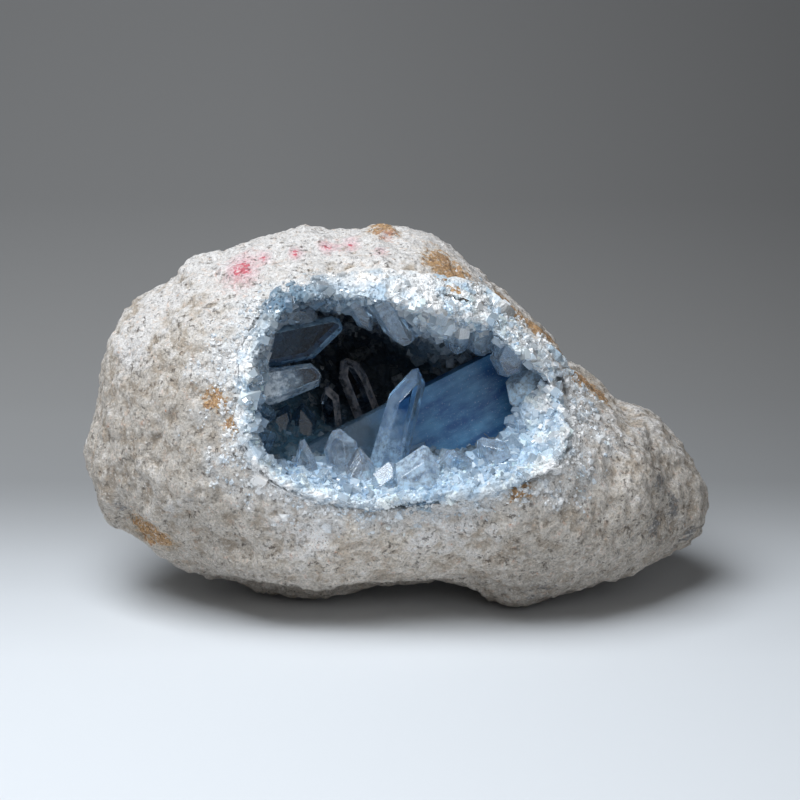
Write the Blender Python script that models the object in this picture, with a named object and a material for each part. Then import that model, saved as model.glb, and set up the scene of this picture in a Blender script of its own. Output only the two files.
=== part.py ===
"""Celestite geode: a pale limestone nodule, broken open on its front, with a hollow lined by blue crystals.

Two solids: geode_matrix is the rock with its hollow, and crystal_crust is all that grew inside it.
+Z is up, +X runs along the nodule's length and -Y is the side that the hollow opens to.
The origin is on the resting surface, under the middle of the nodule's box.
"""

import math
import random

import bmesh
import bpy
import numpy as np
from mathutils import Matrix, Vector, noise

MM = 0.001

# Driving dimensions, in millimetres
LENGTH = 280.0
GAP = 0.45
CRYSTAL_SINK = 0.75

# The nodule's outline from the front: (x, height) along its top and along its underside
TOP_LINE = (
    (-140, 59), (-139, 65), (-135.5, 78), (-131.5, 92), (-127.5, 108), (-123, 125), (-117, 132),
    (-106, 138), (-97, 141), (-93, 144), (-86, 150), (-74, 154), (-64, 158), (-50, 161),
    (-40, 163), (-27, 162), (-13, 163), (-6, 165), (0, 162), (12, 160), (22, 155), (31, 151),
    (37, 144), (47, 135), (56, 127), (64, 121), (71, 114), (75, 104), (84, 99), (95, 90),
    (104, 83), (110, 83), (117, 78), (124, 71), (130, 65), (136, 58), (139, 51), (140, 39),
)
UNDER_LINE = (
    (-140, 59), (-137, 56), (-133, 49), (-129, 41), (-125, 34), (-119, 32), (-112, 27), (-105, 20),
    (-96, 15), (-85, 12), (-70, 6), (-56, 2), (-44, -1.5), (-30, -0.5), (-15, 4), (0, 5),
    (20, 6.5), (29, 7.5), (35, 5.5), (44, 0.5), (52, -0.5), (60, 0.5), (70, 2), (80, 4.5), (92, 6),
    (103, 9), (113, 11), (122, 16), (131, 20), (137, 25), (139, 30), (140, 39),
)
# Its outline from above: (x, y) along the front and along the back, and the line that its top runs on
FRONT_LINE = (
    (-140, -6), (-138, -24), (-133, -38), (-124, -51), (-108, -65), (-85, -77), (-55, -85), (-20, -89),
    (20, -88), (50, -84), (75, -75), (98, -60), (114, -44), (127, -31), (136, -20), (140, -8),
)
BACK_LINE = (
    (-140, -6), (-138, 10), (-132, 26), (-120, 43), (-98, 61), (-70, 75), (-35, 84), (5, 88),
    (45, 85), (78, 74), (103, 58), (122, 42), (135, 24), (140, 6),
)
CREST_LINE = ((-140, -6), (-90, 2), (-20, 10), (60, 6), (140, -2))
KEEL_LINE = ((-140, -6), (-95, -10), (-45, -14), (0, -18), (52, -20), (100, -14), (140, -2))
WAIST_SHARE = 0.46
UPPER_POWER = 0.86
LOWER_POWER = 1.05

# What stands out of the smooth nodule: centre, reach along each axis, push, all in millimetres
LUMPS = (
    ((-75, -66, 24), (34, 16, 9), (0, -6, 2)),
    ((-25, -72, 22), (34, 16, 9), (0, -8, 1)),
    ((22, -74, 20), (24, 16, 9), (0, -6, 0)),
    ((-45, -45, 7), (40, 16, 8), (0, 6, 5)),
    ((8, -50, 6), (18, 20, 8), (0, 6, 5)),
    ((52, -50, 14), (18, 16, 14), (0, 3, 0)),
    ((104, -46, 72), (8, 14, 30), (1, -5, 0)),
    ((124, -26, 54), (8, 14, 20), (-2, 5, 0)),
    ((-122, -36, 36), (10, 14, 9), (-3, -3, -2)),
    ((-128, -10, 40), (7, 12, 8), (-4, 0, -3)),
    ((-139, -6, 60), (7, 24, 14), (1.4, 0, 0)),
    ((139, 0, 38), (7, 24, 18), (2.4, 0, 0)),
    ((-90, 0, 150), (9, 30, 9), (-2, 0, 3)),
    ((-8, 6, 172), (9, 12, 7), (0, 0, 2)),
    ((30, 60, 110), (30, 22, 30), (2, 6, 5)),
    ((-60, 66, 60), (34, 20, 30), (-2, 6, 0)),
    ((70, 58, 50), (26, 20, 22), (3, 5, 0)),
)
# Feet that the nodule rests on behind its keel
FEET = (((-52, 30), (24, 16), 12), ((38, 32), (22, 16), 13))
ROUGHNESS = ((34, 3.0), (13, 1.5), (6, 0.6))
ROCK_STATIONS = 96
ROCK_SIDES = 88
ROCK_VOXEL = 2.6
ROCK_TRIANGLES = 3300

# The hollow: where its mouth is centred, how the mouth's plane leans back upwards and to the right,
# the mouth's radius by angle, and how far behind that plane the rock's surface meets it
MOUTH_CENTRE = (6.0, -71.0, 102.0)
MOUTH_LEAN = 0.34
MOUTH_SKEW = 0.18
MOUTH_RADII = (67, 53, 48, 44, 42, 44, 52, 65, 71, 69, 68, 58, 48, 43, 41, 44, 53, 69)
RIM_DEPTHS = (24, 24, 14, 4, 0, 2, 8, 8, 6, 5, 5, 6, 5, 4, 2, -2, -6, 6)
# The opening that the crystals leave: its radius by angle
OPENING_RADII = (56, 42, 33, 26, 24, 25, 35, 50, 60, 60, 60, 45, 38, 32, 31, 33, 42, 52)
HOLLOW_SIDES = 30
RIM_REACH = 70.0
# How far the hollow drifts to the left and down for each millimetre of depth
HOLLOW_DRIFT = (-0.10, -0.06)
# The rock's side of the hollow: depth behind the mouth, share of the mouth's radius
HOLLOW_PROFILE = (
    (-70, 1.0), (-20, 1.0), (4, 1.0), (24, 0.98), (45, 0.93), (65, 0.84),
    (82, 0.68), (94, 0.46), (101, 0.22),
)
# The crystals' side: depth and share of the way from the opening's radius to the mouth's, then a cave
NECK_PROFILE = ((-70, 0.80), (-8, 0.72), (2, 0.46), (12, 0.14), (22, 0.0))
CAVE_PROFILE = ((36, 1.04), (52, 0.98), (67, 0.84), (80, 0.62), (88, 0.36))
LEAST_CRUST = 5.5

# Large crystals: root, tip, width, thickness, turn of the broad face from the front in degrees, and
# length of the point
BIG_CRYSTALS = {
    "centre_blade": ((-5, -56, 64), (7, -46, 111), 18, 12, 12, 16),
    "great_slab": ((-28, -34, 55), (62, -12, 97), 46, 15, -8, 10),
    "twin_blade": ((-9, 0, 68), (-23, 2, 105), 13, 10, 25, 9),
    "dark_blade": ((-27, -8, 70), (-30, -4, 94), 9, 7, -20, 6),
    "upper_left_blade": ((-62, -46, 117), (-22, -34, 123), 17, 8, 8, 9),
    "lower_left_blade": ((-65, -54, 102), (-31, -44, 106), 16, 10, -12, 7),
    "hanging_blade": ((-6, -52, 140), (4, -46, 120), 12, 8, 15, 6),
    "roof_blade_low": ((-58, -44, 128), (-42, -40, 137), 9, 6, 0, 5),
    "roof_blade_high": ((-56, -46, 136), (-33, -38, 130), 10, 7, 20, 5),
    "roof_spike": ((-19, -46, 141), (-10, -40, 125), 8, 6, 0, 5),
    "roof_block": ((25, -38, 130), (28, -32, 114), 13, 9, 10, 6),
    "roof_plate": ((37, -34, 126), (36, -28, 112), 14, 9, -15, 6),
    "shoulder_block": ((51, -40, 121), (45, -38, 105), 15, 10, 0, 6),
    "right_wedge": ((68, -24, 113), (49, -38, 93), 15, 11, 10, 7),
    "right_spur": ((72, -32, 104), (58, -38, 94), 11, 9, -20, 6),
    "right_knob": ((78, -40, 92), (60, -47, 91), 15, 11, 0, 7),
    "right_low_knob": ((76, -46, 80), (58, -54, 82), 13, 9, 15, 6),
    "front_arch": ((44, -66, 73), (37, -60, 84), 13, 8, 0, 6),
    "front_dome": ((28, -70, 60), (24, -66, 80), 15, 10, 0, 7),
    "front_block": ((7, -74, 58), (13, -69, 82), 24, 15, -10, 10),
    "front_wedge": ((-4, -74, 58), (0, -70, 75), 17, 11, 18, 8),
    "left_point": ((-34, -70, 64), (-40, -64, 83), 9, 7, 0, 8),
    "left_block": ((-20, -65, 62), (-24, -59, 87), 15, 10, -15, 7),
    "left_block_low": ((-12, -68, 60), (-18, -62, 79), 14, 10, 15, 7),
    "cave_block": ((-42, -20, 68), (-39, -14, 88), 11, 8, 0, 6),
    "cave_stub": ((-52, -28, 77), (-48, -24, 90), 10, 8, 10, 5),
    "left_knob": ((-64, -58, 92), (-50, -60, 95), 11, 8, 0, 5),
    "left_low_knob": ((-64, -66, 81), (-49, -66, 84), 13, 9, 0, 6),
}
# A crystal's section, in shares of half its width and half its thickness, and where its sizes change
SIX_SIDED_WIDTH = 12
SIX_SIDED = ((1, 0), (0.55, 1), (-0.55, 1), (-1, 0), (-0.55, -1), (0.55, -1))
FOUR_SIDED = ((0.9, 0.9), (-0.9, 0.9), (-0.9, -0.9), (0.9, -0.9))
ROOT_SHARE = 0.94
BEVEL_SHARE = 0.45
BEVEL_HEIGHT = 0.22
RIDGE_SHARE = 0.26
# Small crystals that line the cave and the broken rim: how many, their sizes and their places' seed
CAVE_DRUSE = 52
CAVE_DRUSE_DEPTH = (2, 80)
CAVE_DRUSE_LENGTH = (6, 13)
CAVE_DRUSE_WIDTH = (5, 9)
RIM_DRUSE = 38
RIM_DRUSE_SHARE = (0.25, 0.8)
RIM_DRUSE_LENGTH = (8, 12)
RIM_DRUSE_WIDTH = (4.5, 8)
DRUSE_ROOT = 3.5
DRUSE_FLATNESS = 0.67
DRUSE_POINT = 0.45
DRUSE_SEED = 12


def clear_scene():
    for obj in list(bpy.data.objects):
        bpy.data.objects.remove(obj)


def along(line, x):
    """The height of an outline at x, straight between its points."""
    return float(np.interp(x, [p[0] for p in line], [p[1] for p in line]))


def around(radii, angle):
    """A radius at an angle, smooth between values that are evenly spaced round a full turn."""
    count = len(radii)
    place = (angle / math.tau) % 1.0 * count
    i = int(place)
    f = place - i
    p0, p1, p2, p3 = (radii[(i + k) % count] for k in (-1, 0, 1, 2))
    return p1 + 0.5 * f * (p2 - p0 + f * (2 * p0 - 5 * p1 + 4 * p2 - p3 + f * (3 * (p1 - p2) + p3 - p0)))


def signed_power(value, power):
    return math.copysign(abs(value) ** power, value)


def tube_mesh(name, rings, first_tip, last_tip):
    """A closed mesh of triangles through rings of points, with a point at each end."""
    bm = bmesh.new()
    rows = [[bm.verts.new(p) for p in ring] for ring in rings]
    first, last = bm.verts.new(first_tip), bm.verts.new(last_tip)
    for low, high in zip(rows, rows[1:]):
        for k in range(len(low)):
            n = (k + 1) % len(low)
            bm.faces.new((low[k], low[n], high[n]))
            bm.faces.new((low[k], high[n], high[k]))
    for k in range(len(rows[0])):
        n = (k + 1) % len(rows[0])
        bm.faces.new((first, rows[0][n], rows[0][k]))
        bm.faces.new((last, rows[-1][k], rows[-1][n]))
    bmesh.ops.recalc_face_normals(bm, faces=bm.faces)
    mesh = bpy.data.meshes.new(name)
    bm.to_mesh(mesh)
    bm.free()
    return mesh


def new_object(name, mesh):
    obj = bpy.data.objects.new(name, mesh)
    bpy.context.scene.collection.objects.link(obj)
    return obj


def bake_modifiers(obj):
    """Gives the object the mesh that its modifiers make, and takes them off."""
    graph = bpy.context.evaluated_depsgraph_get()
    made = bpy.data.meshes.new_from_object(obj.evaluated_get(graph))
    obj.modifiers.clear()
    obj.data = made


def cut_with(obj, operation, other, self_crossing=False):
    modifier = obj.modifiers.new("boolean", "BOOLEAN")
    modifier.solver = "EXACT"
    modifier.operation = operation
    modifier.object = other
    modifier.use_self = self_crossing
    bake_modifiers(obj)


def rock_ring(x):
    """One upright section through the nodule, a lopsided rounded outline."""
    top, under = along(TOP_LINE, x), along(UNDER_LINE, x)
    front, back = along(FRONT_LINE, x), along(BACK_LINE, x)
    crest, keel = along(CREST_LINE, x), along(KEEL_LINE, x)
    waist = under + (top - under) * WAIST_SHARE
    ring = []
    for k in range(ROCK_SIDES):
        turn = math.tau * k / ROCK_SIDES
        power = UPPER_POWER if math.sin(turn) > 0 else LOWER_POWER
        sideways = signed_power(math.cos(turn), power)
        upward = signed_power(math.sin(turn), power)
        middle = crest if upward > 0 else keel
        y_middle = middle * abs(upward)
        y = y_middle + (back - y_middle if sideways > 0 else y_middle - front) * sideways
        z = waist + (top - waist if upward > 0 else waist - under) * upward
        ring.append(Vector((x, y, z)) * MM)
    return ring


def lump_push(point):
    """How far the lumps move a point, in millimetres."""
    push = Vector()
    for centre, reach, amount in LUMPS:
        away = sum(((point[i] - centre[i]) / reach[i]) ** 2 for i in range(3))
        push += Vector(amount) * math.exp(-away)
    for (x, y), (reach_x, reach_y), drop in FEET:
        away = ((point.x - x) / reach_x) ** 2 + ((point.y - y) / reach_y) ** 2
        push.z -= drop * math.exp(-away) * max(0.0, 1 - point.z / 45)
    return push


def rough_push(point):
    return sum(size * noise.noise(point / scale + Vector((scale, 0, 0))) for scale, size in ROUGHNESS)


def make_rock():
    """The whole nodule, before it is hollowed."""
    half = LENGTH / 2
    stations = [-half * math.cos(math.pi * (k + 0.5) / ROCK_STATIONS) for k in range(ROCK_STATIONS)]
    left, right = (Vector((x, along(CREST_LINE, x), along(TOP_LINE, x))) * MM for x in (-half, half))
    rock = new_object("rock", tube_mesh("rock", [rock_ring(x) for x in stations], left, right))
    even = rock.modifiers.new("even_faces", "REMESH")
    even.mode = "VOXEL"
    even.voxel_size = ROCK_VOXEL * MM
    bake_modifiers(rock)
    mesh = rock.data
    normals = [v.normal.copy() for v in mesh.vertices]
    for vertex, normal in zip(mesh.vertices, normals):
        point = vertex.co / MM
        vertex.co += (lump_push(point) + normal * rough_push(point)) * MM
    smaller = rock.modifiers.new("fewer_faces", "DECIMATE")
    smaller.ratio = ROCK_TRIANGLES / (2 * len(mesh.polygons))
    bake_modifiers(rock)
    flatten_feet(rock)
    return rock


def flatten_feet(rock):
    """Cuts the nodule off level at the resting surface, which leaves its flat feet."""
    bm = bmesh.new()
    bm.from_mesh(rock.data)
    everything = bm.verts[:] + bm.edges[:] + bm.faces[:]
    down = (0, 0, -1)
    bmesh.ops.bisect_plane(bm, geom=everything, plane_co=(0, 0, 0), plane_no=down, clear_outer=True, dist=1e-6)
    edges = [e for e in bm.edges if e.is_boundary]
    bmesh.ops.holes_fill(bm, edges=edges)
    bmesh.ops.recalc_face_normals(bm, faces=bm.faces)
    bm.to_mesh(rock.data)
    bm.free()


def hollow_point(angle, radius, depth):
    """A point in the hollow, in millimetres. The depths follow the rim in front, and even out further in."""
    rim_share = min(1.0, max(0.0, 1 - depth / RIM_REACH))
    x, z = radius * math.cos(angle), radius * math.sin(angle)
    y = depth + MOUTH_LEAN * z + MOUTH_SKEW * x + rim_share * around(RIM_DEPTHS, angle)
    drift_x, drift_z = (rate * max(depth, 0) for rate in HOLLOW_DRIFT)
    return Vector(MOUTH_CENTRE) + Vector((x + drift_x, y, z + drift_z))


def hollow_ring(radius_at, depth):
    angles = [math.tau * k / HOLLOW_SIDES for k in range(HOLLOW_SIDES)]
    return [hollow_point(angle, radius_at(angle), depth) * MM for angle in angles]


def hollow_tip(depth):
    cx, cy, cz = MOUTH_CENTRE
    drift_x, drift_z = (rate * max(depth, 0) for rate in HOLLOW_DRIFT)
    return Vector((cx + drift_x, cy + depth, cz + drift_z)) * MM


def make_hollow(name, gap=0.0):
    """The hollow in the rock and the space in front of its mouth, drawn in by a gap."""
    rings = []
    for depth, share in HOLLOW_PROFILE:
        rings.append(hollow_ring(lambda angle: share * around(MOUTH_RADII, angle), depth))
    mesh = tube_mesh(name, rings, hollow_tip(HOLLOW_PROFILE[0][0]), hollow_tip(HOLLOW_PROFILE[-1][0] + 2))
    hollow = new_object(name, mesh)
    normals = [v.normal.copy() for v in mesh.vertices]
    for vertex, normal in zip(mesh.vertices, normals):
        vertex.co -= normal * gap * MM
    hollow.hide_render = True
    hollow.display_type = "WIRE"
    return hollow


def crust_inside(angle, depth, share, towards_mouth):
    """The radius of the crystals' inner side, which leaves the crust its least thickness."""
    opening, mouth = around(OPENING_RADII, angle), around(MOUTH_RADII, angle)
    rock = mouth * float(np.interp(depth, *zip(*HOLLOW_PROFILE)))
    wanted = opening + (mouth - opening) * share if towards_mouth else opening * share
    return min(wanted, rock - LEAST_CRUST)


def make_void():
    """The open space that the crystals leave: a funnel, a neck and a cave behind it."""
    rings = []
    for profile, towards_mouth in ((NECK_PROFILE, True), (CAVE_PROFILE, False)):
        for depth, share in profile:
            rings.append(hollow_ring(lambda angle: crust_inside(angle, depth, share, towards_mouth), depth))
    mesh = tube_mesh("void", rings, hollow_tip(NECK_PROFILE[0][0]), hollow_tip(CAVE_PROFILE[-1][0] + 2))
    void = new_object("void", mesh)
    void.hide_render = True
    void.display_type = "WIRE"
    return void


def add_crystal(bm, root, tip, width, thickness, turn, point):
    """A tabular prism that ends in a chisel edge. At no turn its broad face looks to the front.

    A wide crystal has six sides and a point in two steps, and a narrow one has four sides and a wedge.
    """
    root, tip = Vector(root), Vector(tip)
    length = (tip - root).length
    axis = (tip - root).normalized()
    facing = Vector((0, -1, 0))
    facing = (facing - axis * facing.dot(axis)).normalized()
    facing = Matrix.Rotation(math.radians(turn), 3, axis) @ facing
    across = facing.cross(axis)

    def corner(u, v, height):
        place = root + across * u * width / 2 + facing * v * thickness / 2 + axis * height
        return bm.verts.new(place * MM)

    outline = FOUR_SIDED
    steps = [(0, ROOT_SHARE), (length - point, 1.0)]
    if width >= SIX_SIDED_WIDTH:
        outline = SIX_SIDED
        steps.append((length - point * BEVEL_HEIGHT, BEVEL_SHARE))
    rows = [[corner(u * size, v * size, height) for u, v in outline] for height, size in steps]
    ridge = {side: corner(side * RIDGE_SHARE, 0, length) for side in (1, -1)}
    top = rows[-1]
    for k in range(len(outline)):
        n = (k + 1) % len(outline)
        for low, high in zip(rows, rows[1:]):
            bm.faces.new((low[k], low[n], high[n], high[k]))
        start, end = (ridge[1 if outline[i][0] > 0 else -1] for i in (k, n))
        bm.faces.new((top[k], top[n], end) if start is end else (top[k], top[n], end, start))
    bm.faces.new(reversed(rows[0]))


def cave_crystal(rng):
    """Root, tip, width, thickness, turn and point of a small crystal on the cave's wall or the neck's."""
    angle = rng.uniform(0, math.tau)
    depth = rng.uniform(*CAVE_DRUSE_DEPTH)
    if depth < NECK_PROFILE[-1][0]:
        radius = crust_inside(angle, depth, float(np.interp(depth, *zip(*NECK_PROFILE))), True)
    else:
        profile = ((NECK_PROFILE[-1][0], 1.0), *CAVE_PROFILE)
        radius = crust_inside(angle, depth, float(np.interp(depth, *zip(*profile))), False)
    wall = hollow_point(angle, radius, depth)
    inward = (hollow_point(angle, 0, depth + 6) - wall).normalized()
    lean = Vector((rng.uniform(-0.5, 0.5), rng.uniform(-0.55, 0.35), rng.uniform(-0.5, 0.5)))
    length, width = rng.uniform(*CAVE_DRUSE_LENGTH), rng.uniform(*CAVE_DRUSE_WIDTH)
    root = wall - inward * DRUSE_ROOT
    tip = root + (inward + lean).normalized() * (length + DRUSE_ROOT)
    return root, tip, width, width * DRUSE_FLATNESS, rng.uniform(0, 90), width * DRUSE_POINT


def rim_crystal(rng):
    """The same for a stub in the broken band, where 0 is the crystals' edge and 1 is the rock's."""
    angle = rng.uniform(0, math.tau)
    share = rng.uniform(*RIM_DRUSE_SHARE)
    inner, outer = around(OPENING_RADII, angle), around(MOUTH_RADII, angle) - 3
    depth = 8 - 9 * share
    root = hollow_point(angle, inner + (outer - inner) * share, depth + 4)
    inward = (hollow_point(angle, 0, depth) - root).normalized()
    lean = Vector((rng.uniform(-0.4, 0.4), -rng.uniform(0.4, 1.0), rng.uniform(-0.4, 0.5)))
    length, width = rng.uniform(*RIM_DRUSE_LENGTH), rng.uniform(*RIM_DRUSE_WIDTH)
    tip = root + (inward * 0.5 + lean).normalized() * length
    return root, tip, width, width * DRUSE_FLATNESS, rng.uniform(0, 90), width * DRUSE_POINT


def make_crystals():
    """All the crystals in one mesh, still crossing each other."""
    rng = random.Random(DRUSE_SEED)
    bm = bmesh.new()
    for shape in BIG_CRYSTALS.values():
        add_crystal(bm, *shape)
    for _ in range(CAVE_DRUSE):
        add_crystal(bm, *cave_crystal(rng))
    for _ in range(RIM_DRUSE):
        add_crystal(bm, *rim_crystal(rng))
    bmesh.ops.recalc_face_normals(bm, faces=bm.faces)
    mesh = bpy.data.meshes.new("crystals")
    bm.to_mesh(mesh)
    bm.free()
    crystals = new_object("crystals", mesh)
    crystals.hide_render = True
    crystals.display_type = "WIRE"
    return crystals


def make_crust(nodule):
    """The crystals' crust: a lining with its broken edge flush with the rock, and the crystals on it."""
    crust = new_object("crystal_crust", nodule.copy())
    cut_with(crust, "INTERSECT", make_hollow("hollow_less_gap", GAP))
    cut_with(crust, "DIFFERENCE", make_void())
    crystals = make_crystals()
    cut_with(crystals, "INTERSECT", make_hollow("hollow_for_crystals", CRYSTAL_SINK), self_crossing=True)
    cut_with(crust, "UNION", crystals)
    return crust


def centre_on_origin(objects):
    """Moves the meshes together, so that the box round them is centred on the origin from above."""
    points = np.array([v.co for obj in objects for v in obj.data.vertices])
    shift = (points.min(axis=0) + points.max(axis=0)) / -2
    for obj in objects:
        obj.data.transform(Matrix.Translation((shift[0], shift[1], 0)))


def set_material(obj, name, colour, roughness):
    material = bpy.data.materials.new(name)
    material.use_nodes = True
    shader = material.node_tree.nodes["Principled BSDF"]
    shader.inputs["Base Color"].default_value = (*colour, 1)
    shader.inputs["Roughness"].default_value = roughness
    shader.inputs["Metallic"].default_value = 0.0
    obj.data.materials.clear()
    obj.data.materials.append(material)


def main():
    clear_scene()
    matrix = make_rock()
    nodule = matrix.data.copy()
    cut_with(matrix, "DIFFERENCE", make_hollow("hollow"))
    matrix.name = "geode_matrix"
    crust = make_crust(nodule)
    centre_on_origin([matrix, crust])
    set_material(matrix, "limestone", (0.56, 0.52, 0.47), 0.9)
    set_material(crust, "celestite", (0.42, 0.55, 0.68), 0.25)


if __name__ == "__main__":
    main()
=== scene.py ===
"""Celestite geode on a pale studio floor: its rock, the crust that lines the hollow, and the crystals in it.

Lengths in the tables are in millimetres. MOUTH_CENTRE and BIG_CRYSTALS are in the frame that the part's
source draws in, and CENTRING takes them to the part's own frame, which all other places are in.
"""

import math
import random

import bmesh
import bpy
import numpy as np
from mathutils import Matrix, Vector, noise
from mathutils.bvhtree import BVHTree


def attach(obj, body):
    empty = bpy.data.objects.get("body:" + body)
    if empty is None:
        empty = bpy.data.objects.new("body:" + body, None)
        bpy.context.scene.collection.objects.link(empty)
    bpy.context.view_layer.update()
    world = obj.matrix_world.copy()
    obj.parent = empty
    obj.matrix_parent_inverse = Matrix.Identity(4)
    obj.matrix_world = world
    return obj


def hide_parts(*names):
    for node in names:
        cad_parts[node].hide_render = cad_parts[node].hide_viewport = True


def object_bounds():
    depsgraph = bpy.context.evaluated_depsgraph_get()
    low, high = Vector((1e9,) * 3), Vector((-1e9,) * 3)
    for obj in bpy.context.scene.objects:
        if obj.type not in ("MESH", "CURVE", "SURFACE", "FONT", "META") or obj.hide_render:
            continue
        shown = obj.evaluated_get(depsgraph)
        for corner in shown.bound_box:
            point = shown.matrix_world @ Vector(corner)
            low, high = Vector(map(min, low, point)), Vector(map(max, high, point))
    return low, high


MM = 0.001
CENTRING = Vector((-1.8, -1.0, 0.0))

# The hollow, as the part's source draws it
MOUTH_CENTRE = Vector((6.0, -71.0, 102.0))
MOUTH_LEAN = 0.34
MOUTH_SKEW = 0.18
MOUTH_RADII = (67, 53, 48, 44, 42, 44, 52, 65, 71, 69, 68, 58, 48, 43, 41, 44, 53, 69)
RIM_DEPTHS = (24, 24, 14, 4, 0, 2, 8, 8, 6, 5, 5, 6, 5, 4, 2, -2, -6, 6)
OPENING_RADII = (56, 42, 33, 26, 24, 25, 35, 50, 60, 60, 60, 45, 38, 32, 31, 33, 42, 52)
RIM_REACH = 70.0
HOLLOW_DRIFT = (-0.10, -0.06)
HOLLOW_PROFILE = (
    (-70, 1.0), (-20, 1.0), (4, 1.0), (24, 0.98), (45, 0.93), (65, 0.84), (82, 0.68), (94, 0.46), (101, 0.22),
)
LEAST_CRUST = 5.5

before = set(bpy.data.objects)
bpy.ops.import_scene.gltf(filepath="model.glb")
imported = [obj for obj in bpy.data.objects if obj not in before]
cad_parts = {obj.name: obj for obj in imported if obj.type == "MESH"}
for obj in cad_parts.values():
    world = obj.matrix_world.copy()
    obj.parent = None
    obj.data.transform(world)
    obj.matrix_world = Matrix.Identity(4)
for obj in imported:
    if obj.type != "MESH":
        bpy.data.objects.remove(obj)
cad_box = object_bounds()
scene = bpy.context.scene
BOX_LOW, BOX_HIGH = (Vector(corner) for corner in cad_box)


# Shared helpers

def around(radii, angle):
    """A radius at an angle, smooth between values that are evenly spaced round a full turn."""
    count = len(radii)
    place = (angle / math.tau) % 1.0 * count
    i = int(place)
    f = place - i
    p0, p1, p2, p3 = (radii[(i + k) % count] for k in (-1, 0, 1, 2))
    return p1 + 0.5 * f * (p2 - p0 + f * (2 * p0 - 5 * p1 + 4 * p2 - p3 + f * (3 * (p1 - p2) + p3 - p0)))


def hollow_point(angle, radius, depth):
    """A point in the hollow. Near the mouth the depths follow the rim, and further in they even out."""
    rim_share = min(1.0, max(0.0, 1 - depth / RIM_REACH))
    x, z = radius * math.cos(angle), radius * math.sin(angle)
    y = depth + MOUTH_LEAN * z + MOUTH_SKEW * x + rim_share * around(RIM_DEPTHS, angle)
    drift_x, drift_z = (rate * max(depth, 0) for rate in HOLLOW_DRIFT)
    return MOUTH_CENTRE + CENTRING + Vector((x + drift_x, y, z + drift_z))


def fractal(point, scale, octaves, seed=0.0):
    """Smooth noise of a few octaves at a point in millimetres, about -1 to 1."""
    total, size, weight = 0.0, 1.0, 1.0
    shifted = point / scale + Vector((seed, 2 * seed, -seed))
    for _ in range(octaves):
        total += weight * noise.noise(shifted * size)
        size *= 2.03
        weight *= 0.5
    return total


def near(point, centre, reach):
    """1 at a centre, falling away smoothly over a reach."""
    return math.exp(-((point - Vector(centre)).length / reach) ** 2)


def past_box(points):
    """Whether any point, in millimetres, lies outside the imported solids' box."""
    low, high = BOX_LOW / MM, BOX_HIGH / MM
    return any(p[i] < low[i] or p[i] > high[i] for p in points for i in range(3))


def new_object(name, mesh, slot=None, replaces=None):
    """Links a mesh into the scene, and ties it to the part where it has a slot."""
    obj = bpy.data.objects.new(name, mesh)
    scene.collection.objects.link(obj)
    if slot:
        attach(obj, "root")
        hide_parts(replaces)
    return obj


def mesh_from(name, vertices, faces):
    mesh = bpy.data.meshes.new(name)
    mesh.from_pydata([tuple(v) for v in vertices], [], faces)
    mesh.update()
    return mesh


def store(mesh, name, values, kind="FLOAT", domain="POINT"):
    """Keeps a value for each point or corner of a mesh."""
    attribute = mesh.attributes.new(name, kind, domain)
    field = "vector" if kind == "FLOAT_VECTOR" else "value"
    attribute.data.foreach_set(field, np.array(values, dtype=np.float32).ravel())


def paint(mesh, colours):
    """Keeps a colour for each point of a mesh as its tint."""
    attribute = mesh.color_attributes.new("tint_and_painted_light", "FLOAT_COLOR", "POINT")
    flat = np.ones((len(colours), 4), dtype=np.float32)
    flat[:, :3] = np.array(colours, dtype=np.float32)
    attribute.data.foreach_set("color", flat.ravel())


def apply_modifiers(obj):
    graph = bpy.context.evaluated_depsgraph_get()
    made = bpy.data.meshes.new_from_object(obj.evaluated_get(graph))
    obj.modifiers.clear()
    obj.data = made


# Materials

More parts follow.
